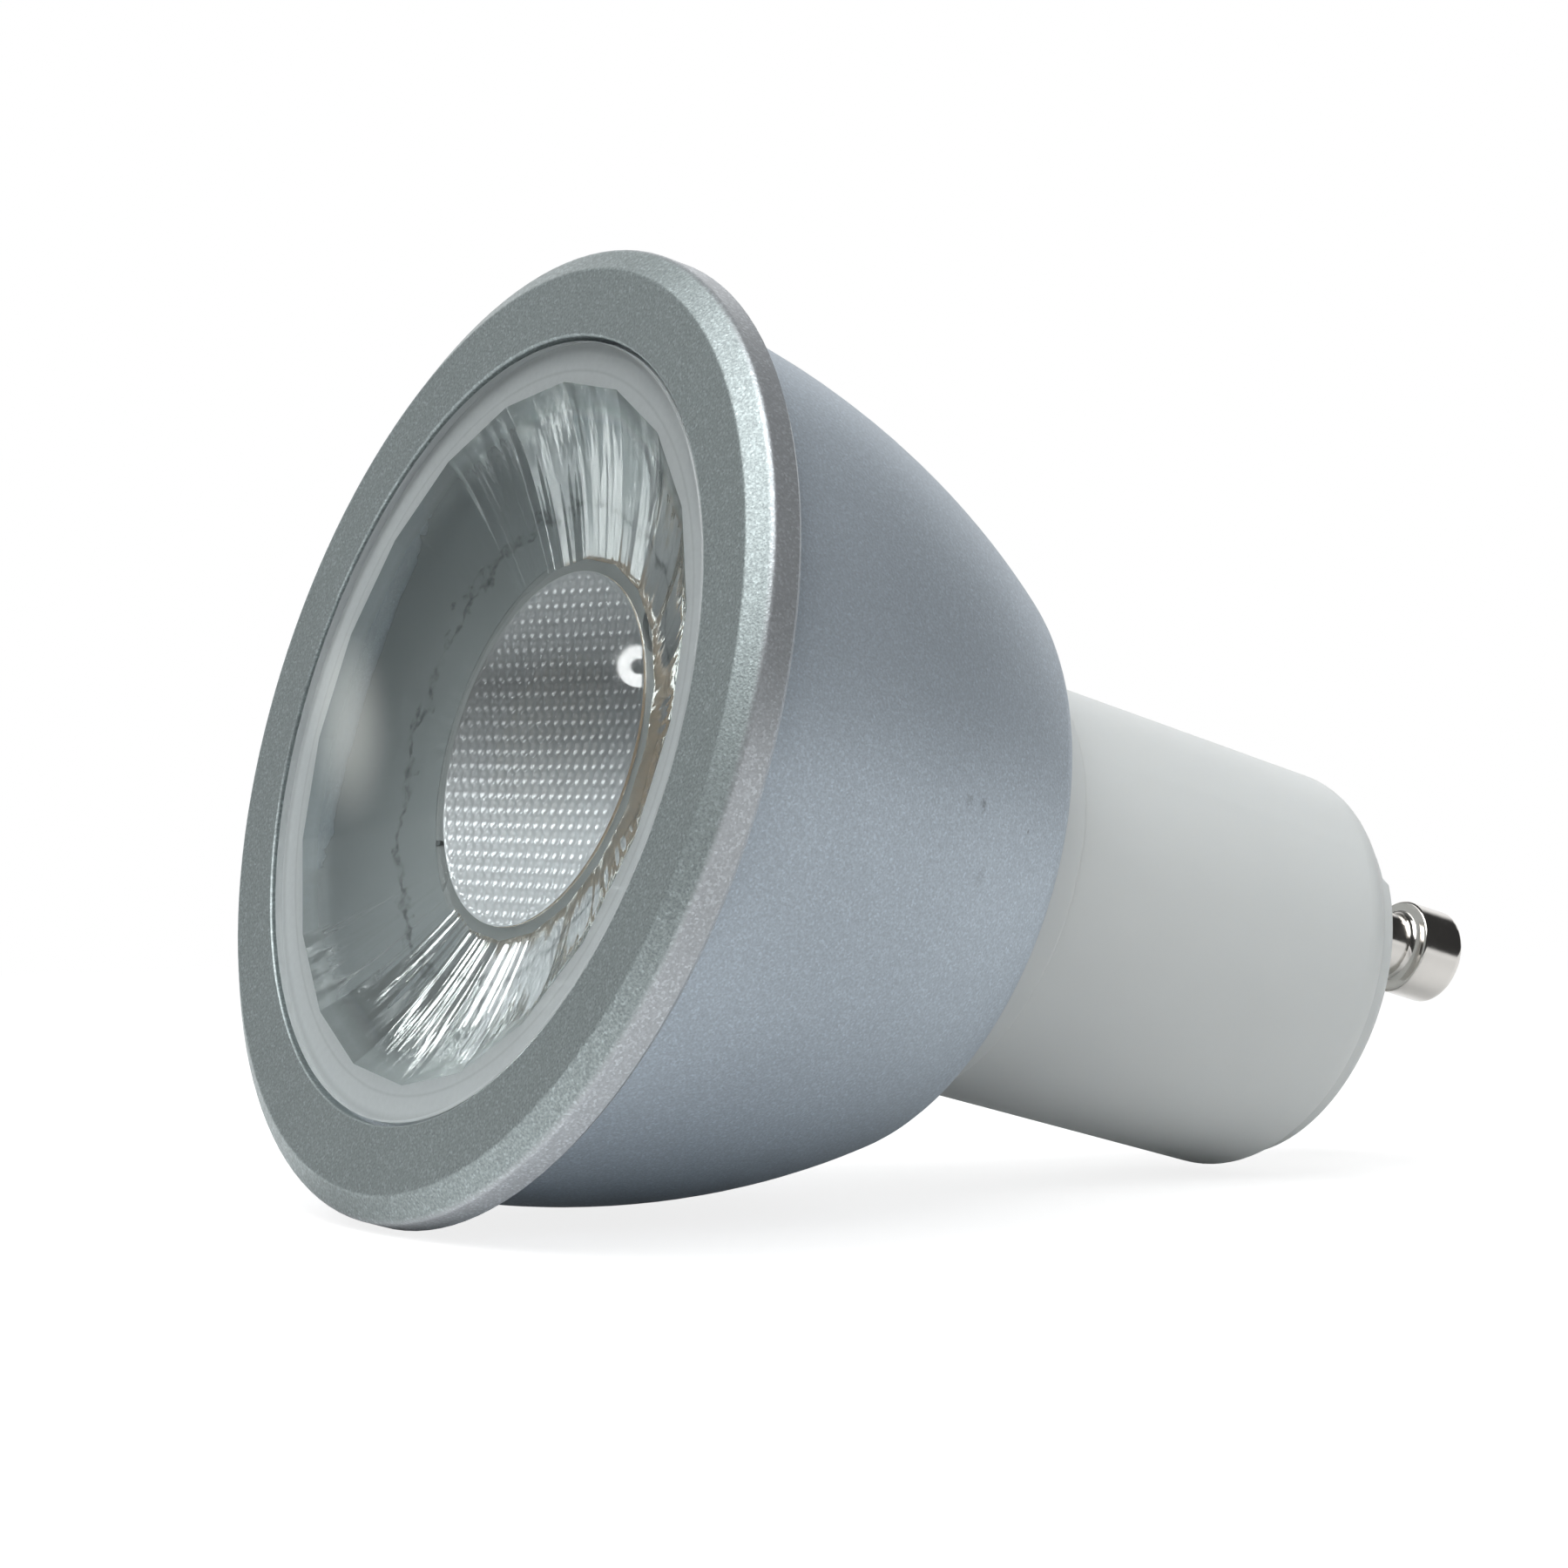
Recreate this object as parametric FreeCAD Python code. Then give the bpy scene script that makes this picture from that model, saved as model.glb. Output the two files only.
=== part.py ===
import FreeCAD, Part
import math
import os

# A GU10 spotlight bulb: an aluminium bowl with a front ring, a faceted collimator lens over a
# round light emitting board, and a white moulded base with two bayonet pins.
# Frame: the bulb stands on the flat front face of its ring. The origin is the centre of that
# face, +Z runs along the optical axis towards the pins, and the pins lie on the X axis.
# Lengths are in millimetres.

V = FreeCAD.Vector
AXIS = V(0, 0, 1)

# Fits
SLIDE = 0.05
LOOSE = 0.20

# Front ring
RING_RADIUS = 25.0
RING_FACE_WIDTH = 4.75
RING_HEIGHT = 2.5
RING_EDGE_WIDTH = 1.25
RING_EDGE_DROP = 0.75
RING_EDGE_ROUND = 0.4
RING_LIP_ROUND = 0.12
RING_REAR_EDGE = 0.3
RING_OVERHANG = 1.9
RING_LEDGE_WIDTH = 1.5
RING_LEDGE_THICKNESS = 1.4
RING_COLLAR_LENGTH = 3.2
RING_COLLAR_WALL = 1.0

# Collimator lens
LENS_SET_BACK = 0.12
LENS_PLATE_THICKNESS = 1.25
LENS_EDGE_ROUND = 0.35
LENS_DEPTH = 10.2
LENS_FACETS = 20
LENS_FACET_TURN = 1.0
LENS_WALL_GAP = 0.65
LENS_WALL_BULGE = 0.9
LENS_TAIL_MARGIN = 1.9
LENS_BRIM_WIDTH = 0.7
LENS_RECESS_DEPTH = 0.4
LENS_RECESS_CROWN = 0.5

# Light emitting board, its retainer and the plate under it
BOARD_RADIUS = 8.0
BOARD_THICKNESS = 1.0
EMITTER_MARGIN = 2.8
EMITTER_THICKNESS = 0.25
DAM_WIDTH = 0.7
DAM_THICKNESS = 0.4
PAD_THICKNESS = 0.3
HOLDER_WIDTH = 5.8
HOLDER_THICKNESS = 1.85
HOLDER_LIP_WIDTH = 0.95
HOLDER_LIP_THICKNESS = 0.5
PLATE_THICKNESS = 2.5
PLATE_SEAT_WIDTH = 1.05
LEAD_RADIUS = 0.42
LEAD_BEAD_RADIUS = 0.5
LEAD_BEAD_HEIGHT = 0.2

# Aluminium bowl
BOWL_RIM_LEAN_DEG = 3.0
BOWL_SIDE_RADIUS = 47.0
BOWL_LENGTH = 23.6
BOWL_CORNER_RADIUS = 3.0
BOWL_WALL = 2.6
BOWL_FLOOR = 2.5
BOWL_SEAT_LIP = 0.4
BOWL_RIM_BORE_SPARE = 0.3
BOWL_RIM_WALL = 1.65
BOWL_BORE_TAPER = 0.6
BOWL_INNER_CORNER = 2.0

# Moulded base
BASE_BODY_RADIUS = 11.3
BASE_DRAFT = 0.3
BASE_LENGTH = 24.9
BASE_END_ROUND = 2.0
BASE_WALL = 1.5
BASE_COLLAR_STEP = 0.5
BASE_COLLAR_LENGTH = 3.25
BASE_PLUG_STEP = 0.2
BASE_PLUG_LENGTH = 3.6
BASE_PAD_INSET = 1.0
BASE_PAD_HEIGHT = 0.6
BASE_PAD_ROUND = 0.4
BASE_PAD_FLAT_DEPTH = 1.1
BASE_PAD_FLAT_TURN = -22.0
POST_RADIUS = 2.3

# Contact pins
PIN_SPACING = 10.0
PIN_REACH = 7.4
PIN_HEAD_RADIUS = 2.55
PIN_HEAD_THICKNESS = 2.8
PIN_HEAD_ROUND = 0.45
PIN_NECK_RADIUS = 1.7
PIN_NECK_FILLET = 0.5
PIN_SHANK_RADIUS = 1.3
PIN_TAIL_RADIUS = 1.9
PIN_TAIL_LENGTH = 1.3

# Screws
SCREW_HEAD_RADIUS = 1.8
SCREW_HEAD_HEIGHT = 1.2
SCREW_SHANK_RADIUS = 1.0
SCREW_SLOT_WIDTH = 0.5
SCREW_SLOT_DEPTH = 0.5
HOLDER_SCREW_BITE = 2.2
BASE_SCREW_BITE = 7.0

# Driver board and what it carries
CIRCUIT_THICKNESS = 1.2
CIRCUIT_FRONT_GAP = 1.8
CIRCUIT_REAR_GAP = 1.5
CIRCUIT_SIDE_GAP = 0.9
RAIL_THICKNESS = 1.0
RAIL_BITE = 0.35
RAIL_LENGTH = 17.0
PART_SPACING = 1.2
FILM_WIDTH = 7.0
FILM_HEIGHT = 6.5
FILM_OFFSET = 2.0
FILM_GAP = 0.7
FRONT_MARGIN = 3.4
FUSE_RADIUS = 1.2
FUSE_LENGTH = 8.0
ELECTROLYTIC_GAP = 1.25
ELECTROLYTIC_LENGTH = 11.0
INDUCTOR_GAP = 0.85
INDUCTOR_LENGTH = 8.5
INDUCTOR_FLANGE = 1.4
INDUCTOR_CORE_SHARE = 0.45
WINDING_SPARE = 0.5
CHIP_SIZE = (5.0, 1.6, 5.0)
FACE_MARGIN = 2.0
RECTIFIER_SIZE = (6.0, 2.4, 4.7)
INPUT_LEAD_LAP = 4.0

# Radii that follow from the sizes above
RING_OPENING_RADIUS = RING_RADIUS - RING_FACE_WIDTH
BOWL_RIM_RADIUS = RING_RADIUS - RING_OVERHANG
RING_COLLAR_RADIUS = BOWL_RIM_RADIUS - BOWL_RIM_WALL
LENS_WALL_FRONT_RADIUS = RING_OPENING_RADIUS - RING_LEDGE_WIDTH - LENS_WALL_GAP
LENS_TAIL_RADIUS = BOARD_RADIUS + LENS_TAIL_MARGIN
LENS_RECESS_RADIUS = LENS_TAIL_RADIUS - LENS_BRIM_WIDTH
EMITTER_RADIUS = BOARD_RADIUS - EMITTER_MARGIN
LEAD_OFFSET = EMITTER_RADIUS + DAM_WIDTH + LEAD_BEAD_RADIUS + LOOSE
LEAD_HOLE_RADIUS = LEAD_RADIUS + 0.08
HOLDER_INNER_RADIUS = BOARD_RADIUS + LOOSE
HOLDER_RADIUS = HOLDER_INNER_RADIUS + HOLDER_WIDTH
HOLDER_SCREW_OFFSET = HOLDER_INNER_RADIUS + HOLDER_WIDTH / 2
BASE_COLLAR_RADIUS = BASE_BODY_RADIUS + BASE_COLLAR_STEP
BASE_PLUG_RADIUS = BASE_BODY_RADIUS - BASE_PLUG_STEP
BASE_END_RADIUS = BASE_BODY_RADIUS - BASE_DRAFT
BASE_BORE_RADIUS = BASE_END_RADIUS - BASE_WALL
BASE_PAD_RADIUS = BASE_END_RADIUS - BASE_PAD_INSET
POST_OFFSET = BASE_PLUG_RADIUS - POST_RADIUS - LOOSE
CIRCUIT_WIDTH = 2 * (BASE_BORE_RADIUS - CIRCUIT_SIDE_GAP)
CIRCUIT_FACE = CIRCUIT_THICKNESS / 2
LEAD_SIDE = CIRCUIT_FACE + SLIDE + LEAD_RADIUS
FILM_DEPTH = POST_OFFSET - POST_RADIUS - CIRCUIT_FACE - FILM_GAP
ELECTROLYTIC_RADIUS = (BASE_BORE_RADIUS - CIRCUIT_FACE - SLIDE - ELECTROLYTIC_GAP) / 2
INDUCTOR_RADIUS = (BASE_BORE_RADIUS - CIRCUIT_FACE - SLIDE - INDUCTOR_GAP) / 2
INDUCTOR_CORE_RADIUS = INDUCTOR_CORE_SHARE * INDUCTOR_RADIUS

# Heights that follow from the sizes above
LEDGE_Z = LENS_SET_BACK + LENS_PLATE_THICKNESS
LENS_TAIL_Z = LENS_SET_BACK + LENS_DEPTH
HOLDER_Z = LENS_TAIL_Z + SLIDE
PLATE_Z = HOLDER_Z + HOLDER_THICKNESS
PLATE_REAR_Z = PLATE_Z + PLATE_THICKNESS
PAD_Z = PLATE_Z - PAD_THICKNESS
BOARD_Z = PAD_Z - BOARD_THICKNESS
BOWL_RIM_Z = RING_HEIGHT
BOWL_END_Z = BOWL_RIM_Z + BOWL_LENGTH
PLUG_Z = BOWL_END_Z - BASE_PLUG_LENGTH
BASE_END_Z = BOWL_END_Z + BASE_LENGTH
BASE_INNER_Z = BASE_END_Z - BASE_WALL
BASE_PAD_Z = BASE_END_Z + BASE_PAD_HEIGHT
PIN_TIP_Z = BASE_PAD_Z + PIN_REACH
PIN_TAIL_Z = BASE_INNER_Z - PIN_TAIL_LENGTH
CIRCUIT_Z = PLATE_REAR_Z + CIRCUIT_FRONT_GAP
CIRCUIT_END_Z = PIN_TAIL_Z - CIRCUIT_REAR_GAP
FILM_Z = CIRCUIT_Z + FRONT_MARGIN
FUSE_Z = FILM_Z + FILM_HEIGHT + PART_SPACING
ELECTROLYTIC_Z = FUSE_Z + 2 * FUSE_RADIUS + PART_SPACING
CHIP_Z = CIRCUIT_Z + FACE_MARGIN
INDUCTOR_Z = BOWL_END_Z + PART_SPACING
RECTIFIER_Z = CIRCUIT_END_Z - FACE_MARGIN - RECTIFIER_SIZE[2]

# Centre of the arc that the bowl's side follows, in the plane of the outline
BOWL_CENTRE_R = BOWL_RIM_RADIUS - BOWL_SIDE_RADIUS * math.cos(math.radians(BOWL_RIM_LEAN_DEG))
BOWL_CENTRE_Z = BOWL_RIM_Z - BOWL_SIDE_RADIUS * math.sin(math.radians(BOWL_RIM_LEAN_DEG))


def flat(r, z):
    """A point of a turned outline, in the XZ plane."""
    return V(r, 0, z)


def rounded_outline(corners):
    """A closed wire through (r, z, rounding) corners, with an arc at each corner that has one."""
    arcs = {}
    ends = []
    count = len(corners)
    for i in range(count):
        here = flat(corners[i][0], corners[i][1])
        before = flat(*corners[i - 1][:2])
        after = flat(*corners[(i + 1) % count][:2])
        rounding = corners[i][2] if len(corners[i]) > 2 else 0.0
        if rounding <= 0:
            ends.append((here, here))
            continue
        into = (here - before).normalize()
        out = (after - here).normalize()
        turn = into.getAngle(out)
        reach = rounding * math.tan(turn / 2)
        reach = min(reach, 0.48 * (here - before).Length, 0.48 * (after - here).Length)
        radius = reach / math.tan(turn / 2)
        start = here - into * reach
        stop = here + out * reach
        inward = (out - into).normalize()
        centre = here + inward * (radius / math.cos(turn / 2))
        middle = centre - inward * radius
        arcs[i] = Part.Arc(start, middle, stop).toShape()
        ends.append((start, stop))
    chain = []
    for i in range(count):
        if i in arcs:
            chain.append(arcs[i])
        leave = ends[i][1]
        reach_to = ends[(i + 1) % count][0]
        if (reach_to - leave).Length > 1e-6:
            chain.append(Part.LineSegment(leave, reach_to).toShape())
    return Part.Wire(chain)


def spin(wire):
    """A solid of revolution about the bulb's axis."""
    return Part.Face(wire).revolve(V(0, 0, 0), AXIS, 360)


def turned(*corners):
    """A turned solid from its (r, z, rounding) corners."""
    return spin(rounded_outline(corners))


def moved(shape, x=0.0, y=0.0, z=0.0):
    copy = shape.copy()
    copy.translate(V(x, y, z))
    return copy


def rod(radius, z_from, z_to, x=0.0, y=0.0):
    return Part.makeCylinder(radius, z_to - z_from, V(x, y, z_from))


def block(x_size, y_size, z_size, x=0.0, y=0.0, z=0.0):
    """A box centred on x, with its low sides at y and z."""
    return Part.makeBox(x_size, y_size, z_size, V(x - x_size / 2, y, z))


def bowl_radius(z, depth=0.0):
    """Radius of the bowl's side at a height, or of a surface that lies deeper in its wall."""
    return BOWL_CENTRE_R + math.sqrt((BOWL_SIDE_RADIUS - depth) ** 2 - (z - BOWL_CENTRE_Z) ** 2)


def plate_seat_radius():
    """Radius of the step in the bowl that the heat plate sits in."""
    return bowl_radius(PLATE_REAR_Z, BOWL_WALL) + PLATE_SEAT_WIDTH


def side_arc(z_from, z_to, depth=0.0):
    """Arc of the bowl's side between two heights."""
    points = [flat(bowl_radius(z, depth), z) for z in (z_from, (z_from + z_to) / 2, z_to)]
    return Part.Arc(*points).toShape()


def corner_arc(depth, end_z, radius):
    """Arc that leads a side arc into a flat end, with its start and stop."""
    centre_z = end_z - radius
    spare = BOWL_SIDE_RADIUS - depth - radius
    centre_r = BOWL_CENTRE_R + math.sqrt(spare ** 2 - (centre_z - BOWL_CENTRE_Z) ** 2)
    centre = flat(centre_r, centre_z)
    away = (centre - flat(BOWL_CENTRE_R, BOWL_CENTRE_Z)).normalize()
    start = centre + away * radius
    stop = flat(centre_r, end_z)
    middle = centre + (away + V(0, 0, 1)).normalize() * radius
    return Part.Arc(start, middle, stop).toShape(), start, stop


def joined(points):
    """Straight edges through the points, as a list."""
    return [Part.LineSegment(a, b).toShape() for a, b in zip(points, points[1:])]


def front_bezel():
    """The front ring: a flat face with a bevelled edge, a ledge for the lens, and a collar that
    plugs into the bowl's rim."""
    ledge_r = RING_OPENING_RADIUS - RING_LEDGE_WIDTH
    ledge_rear_z = LEDGE_Z + RING_LEDGE_THICKNESS
    collar_inner = RING_COLLAR_RADIUS - RING_COLLAR_WALL
    collar_end_z = RING_HEIGHT + RING_COLLAR_LENGTH
    return turned(
        (RING_OPENING_RADIUS, 0, RING_LIP_ROUND),
        (RING_RADIUS - RING_EDGE_WIDTH, 0, RING_EDGE_ROUND),
        (RING_RADIUS, RING_EDGE_DROP, RING_EDGE_ROUND),
        (RING_RADIUS, RING_HEIGHT - RING_REAR_EDGE),
        (RING_RADIUS - RING_REAR_EDGE, RING_HEIGHT),
        (RING_COLLAR_RADIUS, RING_HEIGHT),
        (RING_COLLAR_RADIUS, collar_end_z),
        (collar_inner, collar_end_z),
        (collar_inner, ledge_rear_z),
        (ledge_r, ledge_rear_z),
        (ledge_r, LEDGE_Z),
        (RING_OPENING_RADIUS, LEDGE_Z),
    )


def facet_wire(radius, z):
    """One ring of the lens wall's corners."""
    points = []
    for i in range(LENS_FACETS + 1):
        angle = math.radians(LENS_FACET_TURN + 360.0 * i / LENS_FACETS)
        points.append(V(radius * math.cos(angle), radius * math.sin(angle), z))
    return Part.makePolygon(points)


def lens_optic():
    """The clear collimator: a round front plate on a faceted wall that narrows in a gentle curve
    to the tail, which is hollowed over the light emitting board."""
    plate = turned(
        (0, LENS_SET_BACK),
        (RING_OPENING_RADIUS - LOOSE, LENS_SET_BACK, LENS_EDGE_ROUND),
        (RING_OPENING_RADIUS - LOOSE, LEDGE_Z),
        (0, LEDGE_Z),
    )
    middle_z = (LEDGE_Z + LENS_TAIL_Z) / 2
    middle_radius = (LENS_WALL_FRONT_RADIUS + LENS_TAIL_RADIUS) / 2 + LENS_WALL_BULGE
    wall = Part.makeLoft(
        [
            facet_wire(LENS_WALL_FRONT_RADIUS, LEDGE_Z),
            facet_wire(middle_radius, middle_z),
            facet_wire(LENS_TAIL_RADIUS, LENS_TAIL_Z),
        ],
        True,
        False,
    )
    brim_z = LENS_TAIL_Z - LENS_RECESS_DEPTH
    crown_z = brim_z - LENS_RECESS_CROWN
    crown_edge = Part.Arc(
        flat(0, crown_z),
        flat(LENS_RECESS_RADIUS / 2, crown_z + LENS_RECESS_CROWN / 4),
        flat(LENS_RECESS_RADIUS, brim_z),
    ).toShape()
    below = joined([
        flat(LENS_RECESS_RADIUS, brim_z),
        flat(LENS_RECESS_RADIUS, LENS_TAIL_Z + 1),
        flat(0, LENS_TAIL_Z + 1),
        flat(0, crown_z),
    ])
    recess = spin(Part.Wire([crown_edge] + below))
    return plate.fuse(wall).cut(recess).removeSplitter()


def led_holder():
    """The retainer ring: its lip holds the board down, and the lens tail rests on its face."""
    inner = HOLDER_INNER_RADIUS
    lip_inner = inner - HOLDER_LIP_WIDTH
    ring = turned(
        (lip_inner, HOLDER_Z),
        (HOLDER_RADIUS, HOLDER_Z, 0.4),
        (HOLDER_RADIUS, PLATE_Z),
        (inner, PLATE_Z),
        (inner, HOLDER_Z + HOLDER_LIP_THICKNESS),
        (lip_inner, HOLDER_Z + HOLDER_LIP_THICKNESS),
    )
    for side in (-1, 1):
        x = side * HOLDER_SCREW_OFFSET
        ring = ring.cut(rod(SCREW_SHANK_RADIUS + LOOSE, HOLDER_Z - 1, PLATE_Z + 1, x))
        seat_z = HOLDER_Z + SLIDE + SCREW_HEAD_HEIGHT
        ring = ring.cut(rod(SCREW_HEAD_RADIUS + LOOSE, HOLDER_Z - 1, seat_z, x))
    return ring


def drilled(shape, places, radius, z_from, z_to):
    for x, y in places:
        shape = shape.cut(rod(radius, z_from, z_to, x, y))
    return shape


def lead_places():
    return [(side * LEAD_OFFSET, LEAD_SIDE) for side in (-1, 1)]


def led_board():
    """The round metal board that carries the emitter."""
    disc = turned((0, BOARD_Z), (BOARD_RADIUS, BOARD_Z), (BOARD_RADIUS, PAD_Z), (0, PAD_Z))
    return drilled(disc, lead_places(), LEAD_HOLE_RADIUS, BOARD_Z - 1, PAD_Z + 1)


def led_emitter():
    """The disc of phosphor over the diode chips."""
    top = BOARD_Z - EMITTER_THICKNESS
    return turned((0, top), (EMITTER_RADIUS, top), (EMITTER_RADIUS, BOARD_Z), (0, BOARD_Z))


def led_dam():
    """The silicone ring round the phosphor."""
    outer = EMITTER_RADIUS + DAM_WIDTH
    top = BOARD_Z - DAM_THICKNESS
    return turned(
        (EMITTER_RADIUS, BOARD_Z),
        (EMITTER_RADIUS, top, 0.2),
        (outer, top, 0.2),
        (outer, BOARD_Z),
    )


def thermal_pad():
    """The soft pad between the board and the heat plate."""
    disc = turned((0, PAD_Z), (BOARD_RADIUS, PAD_Z), (BOARD_RADIUS, PLATE_Z), (0, PLATE_Z))
    return drilled(disc, lead_places(), LEAD_HOLE_RADIUS, PAD_Z - 1, PLATE_Z + 1)


def heat_plate():
    """The aluminium disc pressed into the bowl, which takes the board's heat to its wall."""
    radius = plate_seat_radius() - SLIDE
    disc = turned(
        (0, PLATE_Z),
        (radius, PLATE_Z, 0.3),
        (radius, PLATE_REAR_Z),
        (0, PLATE_REAR_Z),
    )
    disc = drilled(disc, lead_places(), LEAD_HOLE_RADIUS, PLATE_Z - 1, PLATE_REAR_Z + 1)
    for side in (-1, 1):
        hole = rod(SCREW_SHANK_RADIUS, PLATE_Z - 1, PLATE_Z + HOLDER_SCREW_BITE,
                   side * HOLDER_SCREW_OFFSET)
        post_hole = rod(SCREW_SHANK_RADIUS + LOOSE, PLATE_Z - 1, PLATE_REAR_Z + 1,
                        0, side * POST_OFFSET)
        head_seat = rod(SCREW_HEAD_RADIUS + LOOSE, PLATE_Z - 1, PLATE_Z + SLIDE + SCREW_HEAD_HEIGHT,
                        0, side * POST_OFFSET)
        disc = disc.cut(hole).cut(post_hole).cut(head_seat)
    return disc


def heat_sink():
    """The bowl: a curved wall, open at the front, with a seat for the heat plate and a bored
    flat end that the base plugs into."""
    seat_r = plate_seat_radius()
    seat_top_z = PLATE_Z - BOWL_SEAT_LIP
    collar_bore = RING_COLLAR_RADIUS + SLIDE
    collar_z = RING_HEIGHT + RING_COLLAR_LENGTH + BOWL_RIM_BORE_SPARE
    floor_z = BOWL_END_Z - BOWL_FLOOR
    bore_r = BASE_PLUG_RADIUS + SLIDE
    outer_corner, outer_start, outer_stop = corner_arc(0.0, BOWL_END_Z, BOWL_CORNER_RADIUS)
    inner_corner, inner_start, inner_stop = corner_arc(BOWL_WALL, floor_z, BOWL_INNER_CORNER)
    edges = [side_arc(BOWL_RIM_Z, outer_start.z), outer_corner]
    edges += joined([outer_stop, flat(bore_r, BOWL_END_Z), flat(bore_r, floor_z), inner_stop])
    edges += [inner_corner, side_arc(inner_start.z, PLATE_REAR_Z, BOWL_WALL)]
    edges += joined([
        flat(bowl_radius(PLATE_REAR_Z, BOWL_WALL), PLATE_REAR_Z),
        flat(seat_r, PLATE_REAR_Z),
        flat(seat_r, seat_top_z),
        flat(collar_bore - BOWL_BORE_TAPER, collar_z),
        flat(collar_bore, collar_z),
        flat(collar_bore, BOWL_RIM_Z),
        flat(BOWL_RIM_RADIUS, BOWL_RIM_Z),
    ])
    return spin(Part.Wire(edges))


def base_pad():
    """The low raised disc on the end of the base, with a flat beside each pin."""
    below_z = BASE_END_Z - BASE_WALL / 2
    pad = rod(BASE_PAD_RADIUS, below_z, BASE_PAD_Z)
    for turn in (BASE_PAD_FLAT_TURN, BASE_PAD_FLAT_TURN + 180):
        flat_cut = Part.makeBox(BASE_PAD_RADIUS, 4 * BASE_PAD_RADIUS, 4 * BASE_PAD_HEIGHT,
                                V(BASE_PAD_RADIUS - BASE_PAD_FLAT_DEPTH, -2 * BASE_PAD_RADIUS,
                                  BASE_END_Z))
        flat_cut.rotate(V(0, 0, 0), AXIS, turn)
        pad = pad.cut(flat_cut)
    rim = [e for e in pad.Edges if e.BoundBox.ZMin > BASE_PAD_Z - 1e-4]
    return pad.makeFillet(min(BASE_PAD_ROUND, 0.8 * BASE_PAD_HEIGHT), rim)


def base_shell():
    """The white moulded base: a plug and collar at the bowl, a slightly tapered barrel with a
    rounded end, two screw posts that reach the heat plate, and rails for the driver board."""
    barrel = turned(
        (BASE_BORE_RADIUS, PLUG_Z),
        (BASE_PLUG_RADIUS, PLUG_Z, 0.3),
        (BASE_PLUG_RADIUS, BOWL_END_Z),
        (BASE_COLLAR_RADIUS, BOWL_END_Z),
        (BASE_COLLAR_RADIUS, BOWL_END_Z + BASE_COLLAR_LENGTH, 0.3),
        (BASE_BODY_RADIUS, BOWL_END_Z + BASE_COLLAR_LENGTH),
        (BASE_END_RADIUS, BASE_END_Z, BASE_END_ROUND),
        (0, BASE_END_Z),
        (0, BASE_INNER_Z),
        (BASE_BORE_RADIUS, BASE_INNER_Z, 1.0),
    )
    shell = barrel.fuse(base_pad())
    for side in (-1, 1):
        post = rod(POST_RADIUS, PLATE_REAR_Z, BOWL_END_Z, 0, side * POST_OFFSET)
        shell = shell.fuse(post)
    rail_from = CIRCUIT_WIDTH / 2 - RAIL_BITE
    rail_depth = BASE_BORE_RADIUS + BASE_WALL / 3 - rail_from
    rail_z = CIRCUIT_END_Z - RAIL_LENGTH
    gap = CIRCUIT_FACE + SLIDE
    for side in (-1, 1):
        x_low = rail_from if side > 0 else -rail_from - rail_depth
        for y_low in (gap, -gap - RAIL_THICKNESS):
            shell = shell.fuse(Part.makeBox(rail_depth, RAIL_THICKNESS, RAIL_LENGTH,
                                            V(x_low, y_low, rail_z)))
        shell = shell.cut(rod(PIN_SHANK_RADIUS, BASE_INNER_Z - 1, BASE_PAD_Z + 1,
                              side * PIN_SPACING / 2))
        pilot_end_z = PLATE_Z + SLIDE + SCREW_HEAD_HEIGHT + BASE_SCREW_BITE
        shell = shell.cut(rod(SCREW_SHANK_RADIUS, PLATE_REAR_Z - 1, pilot_end_z,
                              0, side * POST_OFFSET))
    return shell.removeSplitter()


def contact_pin(side):
    """A turned bayonet pin: a round head on a neck, with a shank riveted inside the base."""
    head_z = PIN_TIP_Z - PIN_HEAD_THICKNESS
    pin = turned(
        (0, PIN_TAIL_Z),
        (PIN_TAIL_RADIUS, PIN_TAIL_Z, 0.3),
        (PIN_TAIL_RADIUS, BASE_INNER_Z),
        (PIN_SHANK_RADIUS, BASE_INNER_Z),
        (PIN_SHANK_RADIUS, BASE_PAD_Z),
        (PIN_NECK_RADIUS, BASE_PAD_Z),
        (PIN_NECK_RADIUS, head_z, PIN_NECK_FILLET),
        (PIN_HEAD_RADIUS, head_z, 0.15),
        (PIN_HEAD_RADIUS, PIN_TIP_Z, PIN_HEAD_ROUND),
        (0, PIN_TIP_Z),
    )
    return moved(pin, side * PIN_SPACING / 2)


def screw(head_z, bite, x, y):
    """A slotted pan screw whose head faces the front."""
    seat_z = head_z + SCREW_HEAD_HEIGHT
    body = turned(
        (0, head_z),
        (SCREW_HEAD_RADIUS, head_z, 0.4),
        (SCREW_HEAD_RADIUS, seat_z),
        (SCREW_SHANK_RADIUS, seat_z),
        (SCREW_SHANK_RADIUS, seat_z + bite, 0.3),
        (0, seat_z + bite),
    )
    slot = block(SCREW_SLOT_WIDTH, 3 * SCREW_HEAD_RADIUS, SCREW_SLOT_DEPTH + 1,
                 0, -1.5 * SCREW_HEAD_RADIUS, head_z - 1)
    return moved(body.cut(slot), x, y)


def pair(make):
    """Two like pieces, one each side of the axis, as one group of separate solids."""
    return Part.makeCompound([make(-1), make(1)])


def holder_screw(side):
    head_z = HOLDER_Z + SLIDE
    bite = PLATE_Z - (head_z + SCREW_HEAD_HEIGHT) + HOLDER_SCREW_BITE - SLIDE
    return screw(head_z, bite, side * HOLDER_SCREW_OFFSET, 0)


def base_screw(side):
    return screw(PLATE_Z + SLIDE, BASE_SCREW_BITE - SLIDE, 0, side * POST_OFFSET)


def driver_board():
    return block(CIRCUIT_WIDTH, CIRCUIT_THICKNESS, CIRCUIT_END_Z - CIRCUIT_Z,
                 0, -CIRCUIT_FACE, CIRCUIT_Z)


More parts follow.
